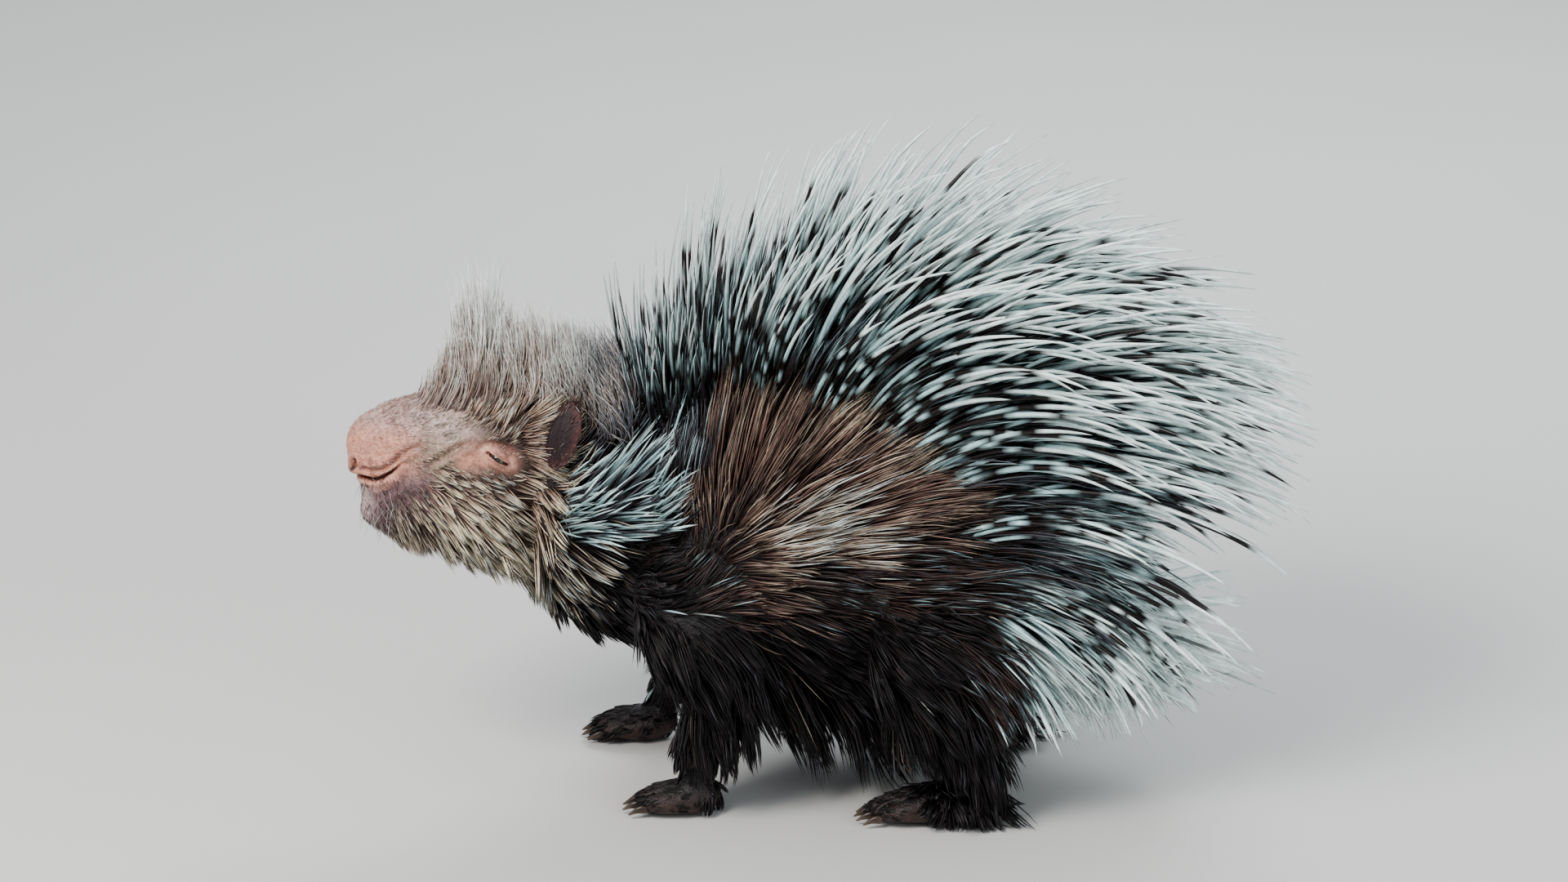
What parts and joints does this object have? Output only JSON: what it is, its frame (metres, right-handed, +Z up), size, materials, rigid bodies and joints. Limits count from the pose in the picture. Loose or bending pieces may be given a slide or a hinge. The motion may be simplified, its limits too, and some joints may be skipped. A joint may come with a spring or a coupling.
{
  "type": "porcupine model",
  "caption": "Life-size museum model of a crested porcupine standing with its head level, its crest up and its quills raised in a fan.",
  "frame": {"origin": "middle of the model's box at the level of the floor under its feet", "axes": "+Z up, the animal faces -X, its left side faces -Y"},
  "size_m": [0.7121, 0.4216, 0.4958],
  "materials": {
    "face_skin": "matte",
    "pale_hair": "matte",
    "body_hair": "matte",
    "foot_skin": "satin",
    "quill": "satin",
    "rattle_quill": "satin",
    "crest_hair": "satin",
    "claw": "satin",
    "eye": "gloss"
  },
  "bodies": {
    "root": {"eye_left": "eye", "eye_right": "eye", "fore_claw_left_1": "claw", "fore_claw_left_2": "claw", "fore_claw_left_3": "claw", "fore_claw_left_4": "claw", "hind_claw_left_1": "claw", "hind_claw_left_2": "claw", "hind_claw_left_3": "claw", "hind_claw_left_4": "claw", "hind_claw_left_5": "claw", "fore_claw_right_1": "claw", "fore_claw_right_2": "claw", "fore_claw_right_3": "claw", "fore_claw_right_4": "claw", "hind_claw_right_1": "claw", "hind_claw_right_2": "claw", "hind_claw_right_3": "claw", "hind_claw_right_4": "claw", "hind_claw_right_5": "claw", "muzzle": "face_skin", "cranium": "pale_hair", "lower_jaw": "face_skin", "ear_left": "face_skin", "ear_right": "face_skin", "chest": "body_hair", "middle": "body_hair", "rump": "body_hair", "forefoot_left": "foot_skin", "forearm_left": "body_hair", "upper_arm_left": "body_hair", "hindfoot_left": "foot_skin", "shank_left": "body_hair", "thigh_left": "body_hair", "forefoot_right": "foot_skin", "forearm_right": "body_hair", "upper_arm_right": "body_hair", "hindfoot_right": "foot_skin", "shank_right": "body_hair", "thigh_right": "body_hair", "neck": "pale_hair", "tail": "rattle_quill", "quills_front_left": "quill", "quills_front_right": "quill", "quills_rear_left": "quill", "quills_rear_right": "quill", "rattle": "rattle_quill", "crest": "crest_hair"}
  },
  "joints": []
}
